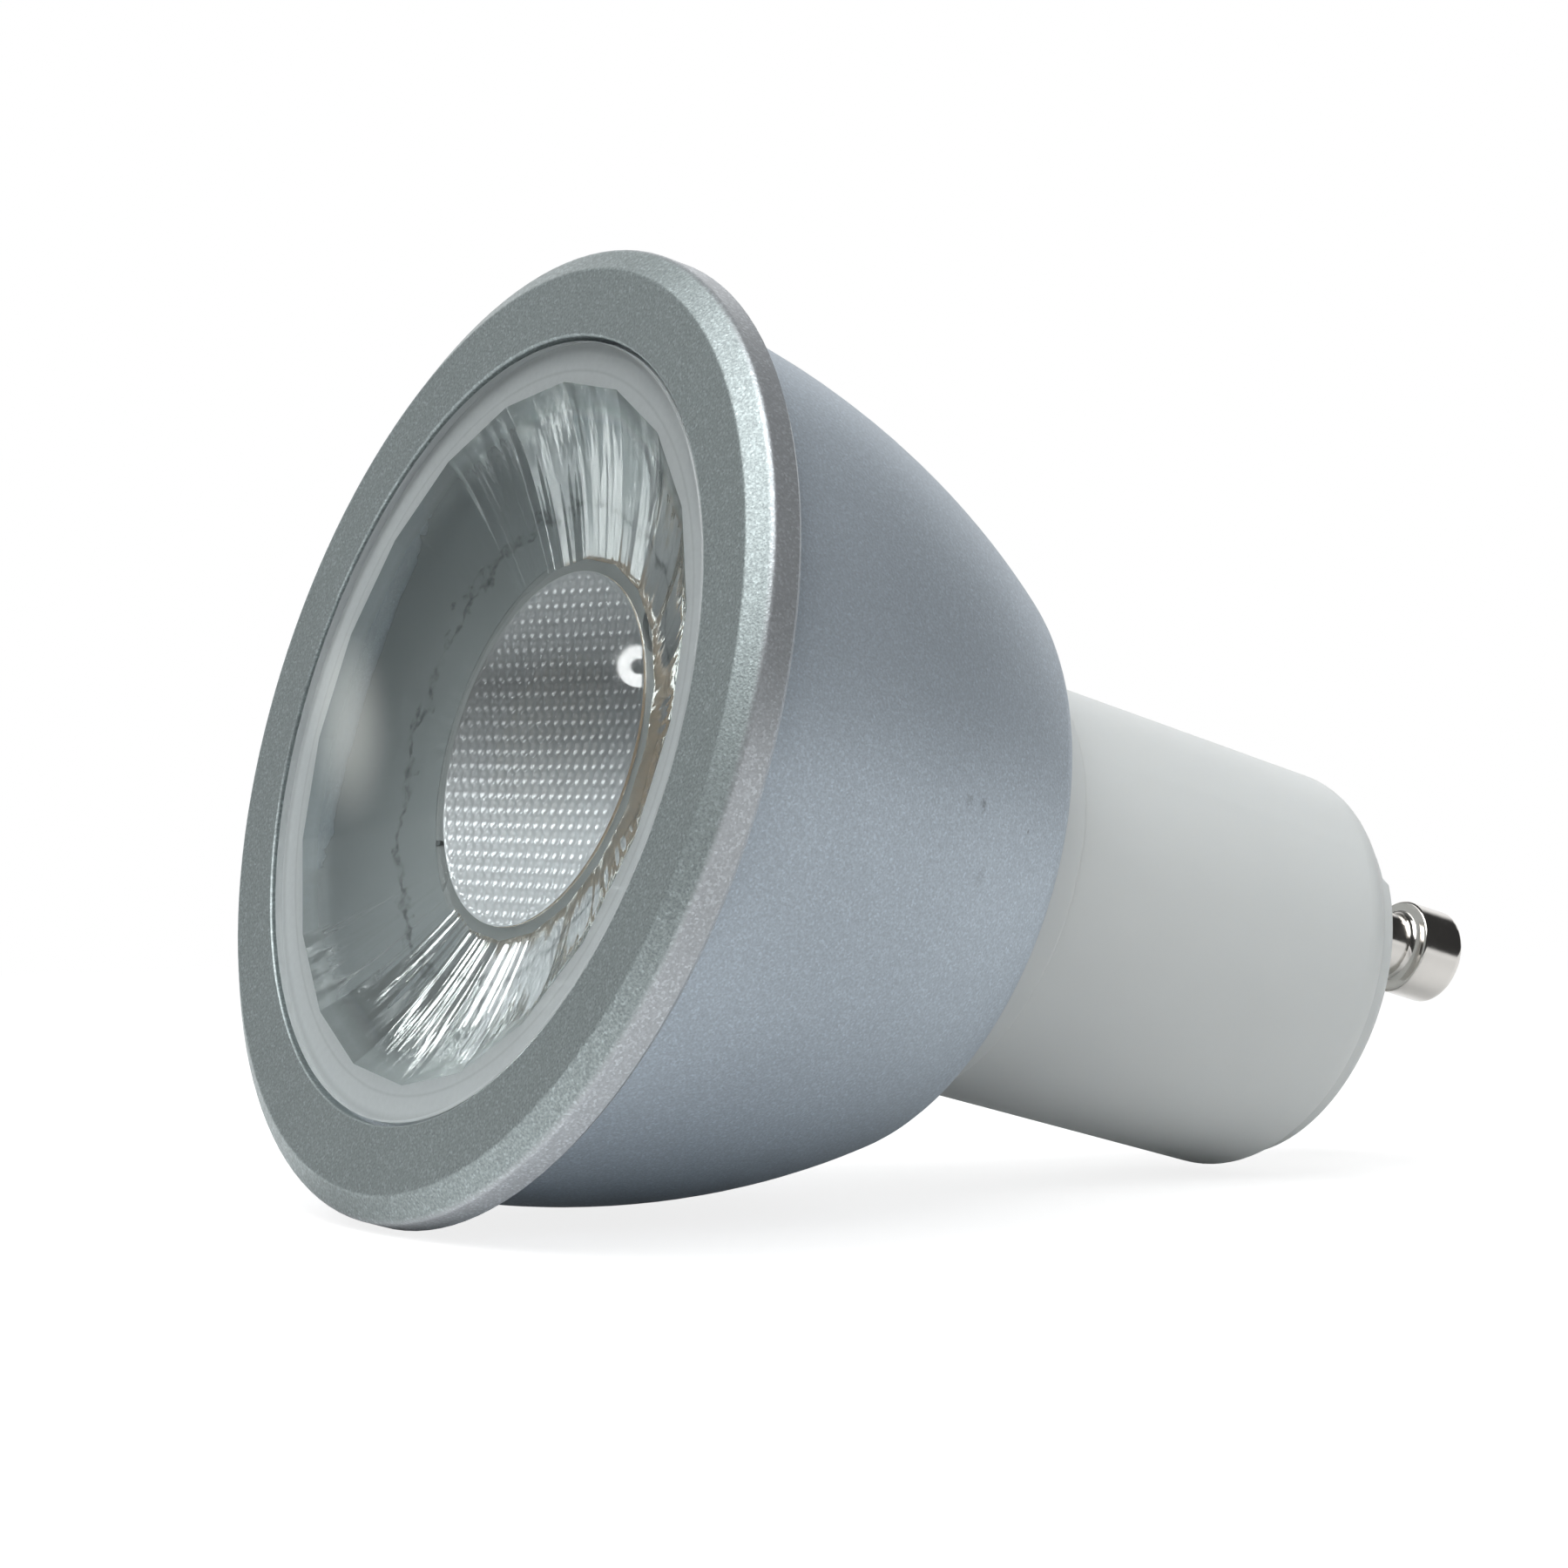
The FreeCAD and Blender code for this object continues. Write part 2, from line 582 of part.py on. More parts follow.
def film_capacitor():
    body = block(FILM_WIDTH, FILM_DEPTH, FILM_HEIGHT, -FILM_OFFSET, CIRCUIT_FACE, FILM_Z)
    return body.makeFillet(0.5, [e for e in body.Edges if e.BoundBox.YMax > CIRCUIT_FACE + 0.1])


def fuse_resistor():
    body = Part.makeCylinder(FUSE_RADIUS, FUSE_LENGTH, V(-FUSE_LENGTH / 2, 0, 0), V(1, 0, 0))
    body = body.makeFillet(0.35, body.Edges)
    return moved(body, 0, CIRCUIT_FACE + SLIDE + FUSE_RADIUS, FUSE_Z + FUSE_RADIUS)


def electrolytic_capacitor():
    """The can, with its rolled-in groove near the seal."""
    groove_z = ELECTROLYTIC_Z + 1.4
    can = turned(
        (0, ELECTROLYTIC_Z),
        (ELECTROLYTIC_RADIUS, ELECTROLYTIC_Z, 0.3),
        (ELECTROLYTIC_RADIUS, groove_z),
        (ELECTROLYTIC_RADIUS - 0.4, groove_z + 0.4),
        (ELECTROLYTIC_RADIUS, groove_z + 0.8),
        (ELECTROLYTIC_RADIUS, ELECTROLYTIC_Z + ELECTROLYTIC_LENGTH, 0.4),
        (0, ELECTROLYTIC_Z + ELECTROLYTIC_LENGTH),
    )
    return moved(can, 0, CIRCUIT_FACE + SLIDE + ELECTROLYTIC_RADIUS)


def inductor_y():
    return -(CIRCUIT_FACE + SLIDE + INDUCTOR_RADIUS)


def inductor_core():
    """The ferrite drum."""
    end_z = INDUCTOR_Z + INDUCTOR_LENGTH
    drum = turned(
        (0, INDUCTOR_Z),
        (INDUCTOR_RADIUS, INDUCTOR_Z, 0.2),
        (INDUCTOR_RADIUS, INDUCTOR_Z + INDUCTOR_FLANGE),
        (INDUCTOR_CORE_RADIUS, INDUCTOR_Z + INDUCTOR_FLANGE),
        (INDUCTOR_CORE_RADIUS, end_z - INDUCTOR_FLANGE),
        (INDUCTOR_RADIUS, end_z - INDUCTOR_FLANGE),
        (INDUCTOR_RADIUS, end_z, 0.2),
        (0, end_z),
    )
    return moved(drum, 0, inductor_y())


def inductor_winding():
    """The copper winding between the drum's flanges."""
    low = INDUCTOR_Z + INDUCTOR_FLANGE
    high = INDUCTOR_Z + INDUCTOR_LENGTH - INDUCTOR_FLANGE
    outer = INDUCTOR_RADIUS - WINDING_SPARE
    coil = turned((INDUCTOR_CORE_RADIUS, low), (outer, low, 0.3), (outer, high, 0.3),
                  (INDUCTOR_CORE_RADIUS, high))
    return moved(coil, 0, inductor_y())


def driver_chip():
    return block(*CHIP_SIZE, 0, -CIRCUIT_FACE - CHIP_SIZE[1], CHIP_Z)


def bridge_rectifier():
    return block(*RECTIFIER_SIZE, 0, -CIRCUIT_FACE - RECTIFIER_SIZE[1], RECTIFIER_Z)


def led_lead(side):
    """A wire from its solder bead on the emitter board to the front of the driver board."""
    bead_z = BOARD_Z - LEAD_BEAD_HEIGHT
    wire = rod(LEAD_RADIUS, BOARD_Z, FILM_Z - 2 * SLIDE, side * LEAD_OFFSET, LEAD_SIDE)
    bead = rod(LEAD_BEAD_RADIUS, bead_z, BOARD_Z, side * LEAD_OFFSET, LEAD_SIDE)
    return wire.fuse(bead)


def input_lead(side):
    """A wire from the rear of the driver board to the tail of a contact pin."""
    low_z = CIRCUIT_END_Z - INPUT_LEAD_LAP
    return rod(LEAD_RADIUS, low_z, PIN_TAIL_Z, side * PIN_SPACING / 2, LEAD_SIDE)


NODES = {
    "front_bezel": front_bezel(),
    "lens_optic": lens_optic(),
    "led_holder": led_holder(),
    "led_board": led_board(),
    "led_emitter": led_emitter(),
    "led_dam": led_dam(),
    "thermal_pad": thermal_pad(),
    "heat_plate": heat_plate(),
    "heat_sink": heat_sink(),
    "base_shell": base_shell(),
    "contact_pin_left": contact_pin(-1),
    "contact_pin_right": contact_pin(1),
    "holder_screws": pair(holder_screw),
    "base_screws": pair(base_screw),
    "driver_board": driver_board(),
    "film_capacitor": film_capacitor(),
    "fuse_resistor": fuse_resistor(),
    "electrolytic_capacitor": electrolytic_capacitor(),
    "inductor_core": inductor_core(),
    "inductor_winding": inductor_winding(),
    "driver_chip": driver_chip(),
    "bridge_rectifier": bridge_rectifier(),
    "led_lead_left": led_lead(-1),
    "led_lead_right": led_lead(1),
    "input_lead_left": input_lead(-1),
    "input_lead_right": input_lead(1),
}

os.makedirs("parts", exist_ok=True)
for name, shape in NODES.items():
    shape.exportStep("parts/" + name + ".step")
    print(name, "solids", len(shape.Solids), "valid", shape.isValid(), "volume", round(shape.Volume, 1))
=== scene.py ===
import math
import bpy
import numpy as np
from mathutils import Matrix, Vector


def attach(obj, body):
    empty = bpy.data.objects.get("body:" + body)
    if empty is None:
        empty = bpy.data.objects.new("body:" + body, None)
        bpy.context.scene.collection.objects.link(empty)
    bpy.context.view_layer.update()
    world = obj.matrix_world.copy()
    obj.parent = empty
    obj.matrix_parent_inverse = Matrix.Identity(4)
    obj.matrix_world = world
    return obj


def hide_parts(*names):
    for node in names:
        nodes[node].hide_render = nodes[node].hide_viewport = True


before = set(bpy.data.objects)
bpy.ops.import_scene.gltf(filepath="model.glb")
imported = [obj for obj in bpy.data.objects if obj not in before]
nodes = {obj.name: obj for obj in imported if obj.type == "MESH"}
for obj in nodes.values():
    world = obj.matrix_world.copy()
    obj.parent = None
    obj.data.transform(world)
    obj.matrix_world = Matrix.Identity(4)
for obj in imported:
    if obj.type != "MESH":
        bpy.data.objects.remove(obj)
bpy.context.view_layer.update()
MM = 0.001

# Lens sizes: a round front plate, a wall of flat facets, and a recess in the tail whose ceiling has
# the honeycomb. Radii and heights are in millimetres.
PLATE_Z, LEDGE_Z, TAIL_Z, CEILING_Z = 0.12, 1.34, 10.32, 9.92
PLATE_R, PLATE_ROUND = 20.05, 0.13
WALL_FRONT_R, TAIL_R, RECESS_R, WALL_BULGE = 18.1, 9.9, 9.2, 0.9
FACETS, FACET_TURN, CORNER_CUT = 20, math.radians(1.0), 0.05
CORNERS = 2 * FACETS
CROWN, PILLOW_FADE = -0.35, 0.25
CELL, PILLOW, CELL_TURN = 0.88, 0.20, math.radians(38.0)
PLATE_POINTS, ROUND_ROWS, WALL_ROWS = 240, 8, 24
RECESS_POINTS, CEILING_ROWS = 360, 120

# Camera. The model's Z axis is the bulb's optical axis, so the camera is rolled to show the bulb
# lying on its side as in the photograph.
CAMERA_MM = Vector((148.885, 156.345, -109.656))
RIGHT = Vector((0.552529, 0.147515, 0.820336))
UP = Vector((0.581317, -0.773527, -0.252442))
TOWARDS = Vector((0.597313, 0.616357, -0.513149))
CENTRE_MM = Vector((0.0, 0.0, 26.0))

camera_data = bpy.data.cameras.new("camera")
camera_data.sensor_width = 36.0
camera_data.lens = 112.0
camera_data.shift_y = 0.05
camera_data.clip_start = 0.01
camera = bpy.data.objects.new("camera", camera_data)
bpy.context.scene.collection.objects.link(camera)
turn = Matrix((RIGHT, UP, TOWARDS)).transposed().to_4x4()
camera.matrix_world = Matrix.Translation(CAMERA_MM * MM) @ turn
bpy.context.scene.camera = camera


# Lamps
def at(right, up, towards):
    """A point in metres, from millimetres along the picture's own axes."""
    return (CENTRE_MM + RIGHT * right + UP * up + TOWARDS * towards) * MM


def soft_light(name, place, width, height, watts):
    """A rectangular lamp that points at the middle of the bulb."""
    data = bpy.data.lights.new(name, "AREA")
    data.shape = "RECTANGLE"
    data.size = width * MM
    data.size_y = height * MM
    data.energy = watts
    lamp = bpy.data.objects.new(name, data)
    bpy.context.scene.collection.objects.link(lamp)
    lamp.location = place
    lamp.rotation_euler = (at(0, 0, 0) - place).to_track_quat("-Z", "Y").to_euler()


soft_light("top", at(-40, 600, 250), 620, 460, 2.7)
soft_light("left", at(-395, 545, 190), 520, 520, 1.9)
soft_light("back", at(-390, 528, -175), 200, 200, 0.2)


class Nodes:
    """A small helper that builds the nodes of a material or of the world."""

    def __init__(self, owner, output, place):
        self.owner = owner
        owner.use_nodes = True
        self.tree = owner.node_tree
        self.tree.nodes.clear()
        self.output = self.add(output)
        self.place = self.add("ShaderNodeTexCoord").outputs[place]

    def add(self, kind, **values):
        node = self.tree.nodes.new(kind)
        for key, value in values.items():
            setattr(node, key, value)
        return node

    def feed(self, socket, value):
        """Give a socket another node's result, a colour as a tuple, or a number or vector."""
        if isinstance(value, bpy.types.NodeSocket):
            self.tree.links.new(value, socket)
        else:
            socket.default_value = (*value, 1) if isinstance(value, tuple) else value

    def shader(self, kind, **values):
        """A shader whose inputs are named with an underscore for each space."""
        node = self.add(kind)
        for key, value in values.items():
            self.feed(node.inputs[key.replace("_", " ")], value)
        return node.outputs[0]

    def mix(self, factor, first, second):
        node = self.add("ShaderNodeMixShader")
        for socket, value in zip(node.inputs, (factor, first, second)):
            self.feed(socket, value)
        return node.outputs[0]

    def added(self, first, second):
        node = self.add("ShaderNodeAddShader")
        self.feed(node.inputs[0], first)
        self.feed(node.inputs[1], second)
        return node.outputs[0]

    def maths(self, operation, *values):
        node = self.add("ShaderNodeMath", operation=operation)
        for socket, value in zip(node.inputs, values):
            self.feed(socket, value)
        return node.outputs[0]

    def vectors(self, operation, *values):
        node = self.add("ShaderNodeVectorMath", operation=operation)
        for socket, value in zip(node.inputs, values):
            self.feed(socket, value)
        gives_number = operation in ("DISTANCE", "DOT_PRODUCT", "LENGTH")
        return node.outputs["Value" if gives_number else "Vector"]

    def z(self):
        split = self.add("ShaderNodeSeparateXYZ")
        self.feed(split.inputs[0], self.place)
        return split.outputs["Z"]

    def noise(self, scale, detail=2.0, roughness=0.5):
        node = self.add("ShaderNodeTexNoise")
        for key, value in (("Scale", scale), ("Detail", detail), ("Roughness", roughness)):
            node.inputs[key].default_value = value
        self.feed(node.inputs["Vector"], self.place)
        return node.outputs["Fac"]

    def ramp(self, source, *stops):
        node = self.add("ShaderNodeValToRGB")
        elements = node.color_ramp.elements
        while len(elements) < len(stops):
            elements.new(0.5)
        for element, (position, colour) in zip(elements, stops):
            element.position = position
            element.color = (*colour, 1)
        self.feed(node.inputs["Fac"], source)
        return node.outputs["Color"]

    def span(self, source, low, high, new_low=0.0, new_high=1.0, kind="LINEAR"):
        node = self.add("ShaderNodeMapRange", interpolation_type=kind)
        limits = {"From Min": low, "From Max": high, "To Min": new_low, "To Max": new_high}
        for key, value in limits.items():
            node.inputs[key].default_value = value
        self.feed(node.inputs["Value"], source)
        return node.outputs["Result"]

    def bump(self, height, distance, strength=1.0, under=None):
        """A bumpy normal. The distance is in millimetres."""
        node = self.add("ShaderNodeBump")
        node.inputs["Strength"].default_value = strength
        node.inputs["Distance"].default_value = distance * MM
        self.feed(node.inputs["Height"], height)
        if under is not None:
            self.feed(node.inputs["Normal"], under)
        return node.outputs["Normal"]

    def oval(self, centre, *sides):
        """Distance from a centre, where each side's half-width counts as one."""
        offset = self.vectors("SUBTRACT", self.place, centre)
        reach = self.add("ShaderNodeCombineXYZ")
        for axis, (direction, half) in zip("XY", sides):
            self.feed(reach.inputs[axis], self.vectors("DOT_PRODUCT", offset, direction / half))
        return self.vectors("LENGTH", reach.outputs[0])

    def finish(self, surface):
        self.feed(self.output.inputs["Surface"], surface)
        return self.owner


def material_nodes(name):
    return Nodes(bpy.data.materials.new(name), "ShaderNodeOutputMaterial", "Object")


def grey(value, tint=(1.0, 1.0, 1.0)):
    return tuple(value * t for t in tint)


# Metal and plastic. Scales of noise, cells and rings are per metre, and depths and other lengths
# are in millimetres.
# Between these heights the ring's face colour blends into its lighter side colour, which is painted
# light.
BEVEL_FROM_Z, BEVEL_TO_Z = 0.6, 0.9
SCUFF_CORE, SCUFF_EDGE = 0.6, 1.5


def blasted_aluminium(name, tint, dark, light, rough, grain, depth, diffuse, painted_glint, scuffs=(),
                      side=None):
    """Bead-blasted and anodised aluminium: fine dimples, some of them painted brighter as glints, as if
    catching the light. Each scuff is an (x, y, z, radius, tone), and side is the colour from the ring's
    bevel on, lighter than the face as painted light for the light that the bevel and side catch."""
    n = material_nodes(name)
    cells = n.add("ShaderNodeTexVoronoi")
    cells.inputs["Scale"].default_value = grain
    n.feed(cells.inputs["Vector"], n.place)
    fine = n.noise(grain * 0.9, roughness=0.6)
    colour = n.ramp(fine, (0.32, grey(dark, tint)), (0.68, grey(light, tint)))
    # painted light: from the bevel on, the ring gets a lighter colour that stands in for the light its
    # bevel and side catch
    if side is not None:
        blend = n.add("ShaderNodeMix", data_type="VECTOR")
        n.feed(blend.inputs["Factor"], n.span(n.z(), BEVEL_FROM_Z * MM, BEVEL_TO_Z * MM))
        n.feed(blend.inputs["A"], colour)
        n.feed(blend.inputs["B"], n.ramp(fine, (0.32, grey(0.85, side)), (0.68, side)))
        colour = blend.outputs["Result"]
    shade = n.span(n.noise(120.0, 3.0), 0.3, 0.7, 0.975, 1.02)
    # painted glints: some cells of the grain are made brighter in colour, as if catching the light
    glint_tone = n.span(cells.outputs["Color"], 0.55, 0.95, 1.0, painted_glint)
    tone = n.maths("MULTIPLY", shade, glint_tone)
    for x, y, z, radius, darkest in scuffs:
        away = n.vectors("DISTANCE", n.place, Vector((x, y, z)) * MM)
        ragged = n.maths("MULTIPLY_ADD", fine, radius * MM, away)
        scuff = n.span(ragged, radius * SCUFF_CORE * MM, radius * SCUFF_EDGE * MM, darkest, 1.0)
        tone = n.maths("MULTIPLY", tone, scuff)
    roughness = n.span(cells.outputs["Color"], 0.0, 1.0, rough + 0.05, rough - 0.05)
    dimples = n.bump(cells.outputs["Distance"], depth, 0.4)
    return n.finish(n.shader(
        "ShaderNodeBsdfPrincipled",
        Base_Color=n.vectors("MULTIPLY", colour, tone),
        Metallic=1.0 - diffuse,
        Roughness=roughness,
        Normal=n.bump(fine, depth, 0.4, dimples),
    ))


def moulded(name, colour, rough, grain=900.0, depth=0.01, uneven=0.02, specular=0.5, scatter=0.0):
    """Moulded plastic with a faint spark-eroded texture and slight unevenness of colour. Scatter
    is the share of light that spreads under the surface."""
    n = material_nodes(name)
    fine = n.noise(grain, 3.0, 0.6)
    low = grey(1 - uneven, colour)
    high = tuple(min(1.0, c) for c in grey(1 + uneven, colour))
    looks = dict(
        Base_Color=n.ramp(n.noise(120.0), (0.35, low), (0.65, high)),
        Roughness=n.span(fine, 0.3, 0.7, rough - 0.04, rough + 0.04),
        Normal=n.bump(fine, depth, 0.5),
        Specular_IOR_Level=specular,
    )
    if scatter > 0:
        looks.update(
            Subsurface_Weight=scatter,
            Subsurface_Radius=Vector((1.0, 0.9, 0.8)),
            Subsurface_Scale=0.8 * MM,
        )
    return n.finish(n.shader("ShaderNodeBsdfPrincipled", **looks))


def turned_metal(name, colour, rough, rings=417.0, depth=0.003):
    """Bright turned metal with fine rings left by the tool."""
    n = material_nodes(name)
    wave = n.add("ShaderNodeTexWave", wave_type="BANDS", bands_direction="Z")
    wave.inputs["Scale"].default_value = rings
    wave.inputs["Distortion"].default_value = 0.4
    n.feed(wave.inputs["Vector"], n.place)
    smudge = n.noise(600.0, 3.0, 0.6)
    return n.finish(n.shader(
        "ShaderNodeBsdfPrincipled",
        Base_Color=n.ramp(smudge, (0.3, grey(0.95, colour)), (0.7, colour)),
        Metallic=1.0,
        Roughness=n.span(smudge, 0.3, 0.7, rough * 0.7, rough * 1.5),
        Normal=n.bump(wave.outputs["Fac"], depth, 0.3),
    ))


# Clear acrylic of the lens, with lengths in millimetres. The thin dark line's height is MARK_Z less
# what the noises add, each with a scale and a reach.
REFRACTIVE_INDEX = 1.49
MARK_Z = 9.8
MARK_WANDER = ((450.0, 2.6), (1900.0, 0.7))
MARK_CORE, MARK_EDGE = 0.06, 0.30
WALL_CLEAR_FROM_Z, WALL_CLEAR_TO_Z = 2.2, 4.0


def dark_wall_line(n, shader):
    """A thin ragged dark line round the lens wall, stronger in some places than in others."""
    height = n.z()
    for scale, reach in MARK_WANDER:
        height = n.maths("MULTIPLY_ADD", n.noise(scale, roughness=0.6), reach * MM, height)
    away = n.maths("ABSOLUTE", n.maths("SUBTRACT", height, MARK_Z * MM))
    line = n.span(away, MARK_CORE * MM, MARK_EDGE * MM, 1.0, 0.0)
    broken = n.span(n.noise(1300.0), 0.38, 0.62, 0.05, 0.6)
    dark = n.shader("ShaderNodeBsdfDiffuse", Color=(0.03, 0.035, 0.035))
    return n.mix(n.maths("MULTIPLY", line, broken), shader, dark)


def draw_marks(n, depth):
    """A normal with fine marks that run along the lens wall."""
    round_axis = n.add("ShaderNodeTexGradient", gradient_type="RADIAL")
    n.feed(round_axis.inputs["Vector"], n.place)
    wall = n.add("ShaderNodeCombineXYZ")
    n.feed(wall.inputs["X"], round_axis.outputs["Fac"])
    n.feed(wall.inputs["Y"], n.z())
    lines = n.add("ShaderNodeTexNoise")
    lines.inputs["Scale"].default_value = 62.0
    lines.inputs["Detail"].default_value = 2.0
    n.feed(lines.inputs["Vector"], wall.outputs[0])
    return n.bump(lines.outputs["Fac"], depth)


def painted_bands_by_radius(n, tones):
    """Painted light and shade in bands round the bulb's axis, from (radius, tone) pairs."""
    radius = n.vectors("LENGTH", n.vectors("MULTIPLY", n.place, Vector((1, 1, 0))))
    low, high = tones[0][0], tones[-1][0]
    stops = [((r - low) / (high - low), grey(tone)) for r, tone in tones]
    return n.ramp(n.span(radius, low * MM, high * MM), *stops)


def painted_shading_downwards(n, tones):
    """Painted shading of the disc from its upper to its lower side in the picture, from (share, tone)
    pairs.
    """
    down = n.vectors("DOT_PRODUCT", n.place, -UP / UP.xy.length)
    stops = [(share, grey(tone)) for share, tone in tones]
    return n.ramp(n.span(down, -RECESS_R * MM, RECESS_R * MM), *stops)


def clear_acrylic(name, skin=None, share=0.0, front_share=None, marks=0.0, gloss=0.0, painted_rings=(),
                  painted_sweep=()):
    """Clear acrylic. A lamp's light that passes through it to what lies behind isn't bent. A skin
    colour adds a textured surface that scatters a share of the light that meets it. A front share is
    that share at the wall's front end, and such a wall has a thin ragged dark line. Marks is the depth
    of draw marks, and the last two arguments are painted light and shade on the skin: bands by radius,
    and shading from the disc's upper to its lower side."""
    n = material_nodes(name)
    looks = dict(
        Color=(0.965, 0.985, 0.982),
        IOR=REFRACTIVE_INDEX,
        Roughness=n.span(n.noise(500.0), 0.3, 0.7, 0.006, 0.02),
    )
    if marks > 0:
        looks["Normal"] = draw_marks(n, marks)
    shader = n.shader("ShaderNodeBsdfGlass", **looks)
    if skin is not None:
        fine = n.noise(3000.0, roughness=0.6)
        tone = n.ramp(fine, (0.3, grey(0.94, skin)), (0.7, skin))
        # painted light and shade: lighter and darker bands of the skin by radius
        if painted_rings:
            tone = n.vectors("MULTIPLY", tone, painted_bands_by_radius(n, painted_rings))
        # painted shading: the disc's skin is darker across its middle and lighter at its upper and
        # lower sides, standing in for how light falls on it
        if painted_sweep:
            tone = n.vectors("MULTIPLY", tone, painted_shading_downwards(n, painted_sweep))
        roughness = n.span(fine, 0.3, 0.7, 0.28, 0.36)
        textured = n.shader("ShaderNodeBsdfPrincipled", Base_Color=tone, Metallic=gloss,
                            Roughness=roughness)
        if front_share is None:
            shader = n.mix(share, shader, textured)
        else:
            fading = n.span(n.z(), WALL_CLEAR_FROM_Z * MM, WALL_CLEAR_TO_Z * MM, front_share, share)
            shader = dark_wall_line(n, n.mix(fading, shader, textured))
    rays = n.add("ShaderNodeLightPath")
    clear = n.shader("ShaderNodeBsdfTransparent", Color=(0.92, 0.94, 0.94))
    return n.finish(n.mix(rays.outputs["Is Shadow Ray"], shader, clear))


# Scuffs on the bowl, each a place, a radius and its darkest tone
BOWL_SCUFFS = (
    (16.16, 11.45, 17.5, 0.30, 0.62),
    (16.45, 11.85, 16.4, 0.45, 0.82),
    (15.95, 11.75, 17.6, 0.16, 0.70),
    (14.5, 10.6, 21.6, 0.14, 0.45),
    (14.1, 13.6, 17.4, 0.25, 0.70),
    (13.6, 13.75, 18.6, 0.55, 0.86),
)

# Painted light and shade on the lens skin: bands of it on the flange by radius, and painted shading of
# the disc from its upper to its lower side in the picture
FLANGE_PAINTED_BANDS = (
    (18.0, 0.85), (18.5, 0.92), (18.62, 0.80), (18.75, 0.95), (19.5, 1.0), (19.8, 0.85), (20.1, 1.0),
)
DISC_PAINTED_SHADING = ((0.0, 1.0), (0.22, 0.62), (0.45, 0.23), (0.62, 0.42), (0.88, 1.2))

ring_metal = blasted_aluminium(
    "ring_metal", tint=(0.87, 0.99, 1.0), dark=0.30, light=0.47, rough=0.40, grain=8200.0,
    depth=0.018, diffuse=0.25, painted_glint=1.4, side=(0.62, 0.65, 0.68))
bowl_metal = blasted_aluminium(
    "bowl_metal", tint=(0.88, 0.99, 1.10), dark=0.58, light=0.71, rough=0.5, grain=8600.0,
    depth=0.013, diffuse=0.35, painted_glint=1.2, scuffs=BOWL_SCUFFS)
white_plastic = moulded(
    "white_plastic", (0.74, 0.765, 0.76), 0.42, grain=1500.0, depth=0.006, uneven=0.012,
    specular=0.45, scatter=0.15)
nickel = turned_metal("nickel", (0.78, 0.755, 0.72), 0.13)
acrylic = clear_acrylic("acrylic")
# the flange's skin carries the painted bands of light and shade
flange = clear_acrylic("flange", (0.66, 0.68, 0.69), 0.9, painted_rings=FLANGE_PAINTED_BANDS)
# the honeycomb's skin carries the disc's painted shading
honeycomb = clear_acrylic("honeycomb", (0.78, 0.80, 0.82), 0.88, gloss=0.6, painted_sweep=DISC_PAINTED_SHADING)
lens_wall = clear_acrylic("lens_wall", (0.42, 0.46, 0.465), 0.16, front_share=0.5, marks=0.26)
tail_edge = clear_acrylic("tail_edge", (0.62, 0.42, 0.24), 0.5)
inner_metal = turned_metal("inner_metal", (0.60, 0.62, 0.63), 0.45, rings=250.0, depth=0.01)
retainer = moulded("retainer", (0.30, 0.31, 0.31), 0.45)
washer_card = moulded("washer_card", (0.25, 0.27, 0.275), 0.5)
phosphor = moulded("phosphor", (0.40, 0.32, 0.15), 0.35, grain=4000.0, depth=0.02, uneven=0.06)
board_white = moulded("board_white", (0.45, 0.46, 0.46), 0.4)
silicone = moulded("silicone", (0.45, 0.45, 0.44), 0.35)
laminate = moulded("laminate", (0.05, 0.22, 0.10), 0.35)
dark_epoxy = moulded("dark_epoxy", (0.03, 0.03, 0.03), 0.4)
red_epoxy = moulded("red_epoxy", (0.42, 0.06, 0.03), 0.3)
ceramic = moulded("ceramic", (0.22, 0.36, 0.30), 0.35)
copper = turned_metal("copper", (0.70, 0.34, 0.18), 0.3, rings=167.0, depth=0.06)
steel = turned_metal("steel", (0.55, 0.55, 0.55), 0.25)

LOOKS = {
    "front_bezel": ring_metal,
    "heat_sink": bowl_metal,
    "base_shell": white_plastic,
    "contact_pin_left": nickel,
    "contact_pin_right": nickel,
    "lens_optic": acrylic,
    "heat_plate": inner_metal,
    "led_holder": retainer,
    "led_board": board_white,
    "led_emitter": phosphor,
    "led_dam": silicone,
    "thermal_pad": silicone,
    "holder_screws": retainer,
    "base_screws": steel,
    "driver_board": laminate,
    "film_capacitor": red_epoxy,
    "fuse_resistor": ceramic,
    "electrolytic_capacitor": dark_epoxy,
    "inductor_core": dark_epoxy,
    "inductor_winding": copper,
    "driver_chip": dark_epoxy,
    "bridge_rectifier": dark_epoxy,
    "led_lead_left": steel,
    "led_lead_right": steel,
    "input_lead_left": steel,
    "input_lead_right": steel,
}
for node_name, look in LOOKS.items():
    node_mesh = nodes[node_name].data
    node_mesh.materials.clear()
    node_mesh.materials.append(look)


def link_mesh(name, verts, faces, material):
    """A piece of the bulb from points in millimetres."""
    mesh = bpy.data.meshes.new(name)
    mesh.from_pydata([Vector(v) * MM for v in verts], [], faces)
    mesh.validate()
    mesh.materials.append(material)
    piece = bpy.data.objects.new(name, mesh)
    bpy.context.scene.collection.objects.link(piece)
    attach(piece, "root")
    return piece


